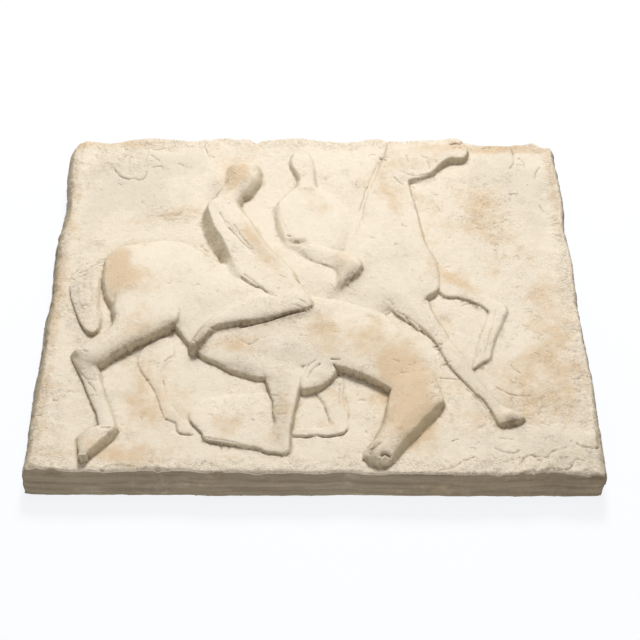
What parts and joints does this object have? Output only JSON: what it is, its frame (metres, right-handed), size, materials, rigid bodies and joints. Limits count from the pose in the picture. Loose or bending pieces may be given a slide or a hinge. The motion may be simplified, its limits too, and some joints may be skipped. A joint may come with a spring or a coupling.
{
  "type": "cast stone relief",
  "caption": "Rectangular cast stone wall relief with horses and riders carved in low relief on a rough-edged slab.",
  "frame": {"origin": "middle of the flat back face, where the relief meets the wall it hangs on", "axes": "+X to the right of the picture, +Y up the picture, +Z out of the wall, towards the viewer"},
  "size_m": [0.4546, 0.3759, 0.0447],
  "materials": {
    "cast_stone": "matt, sandy, weathered"
  },
  "bodies": {
    "root": {"cast_relief": "cast_stone"}
  },
  "joints": []
}
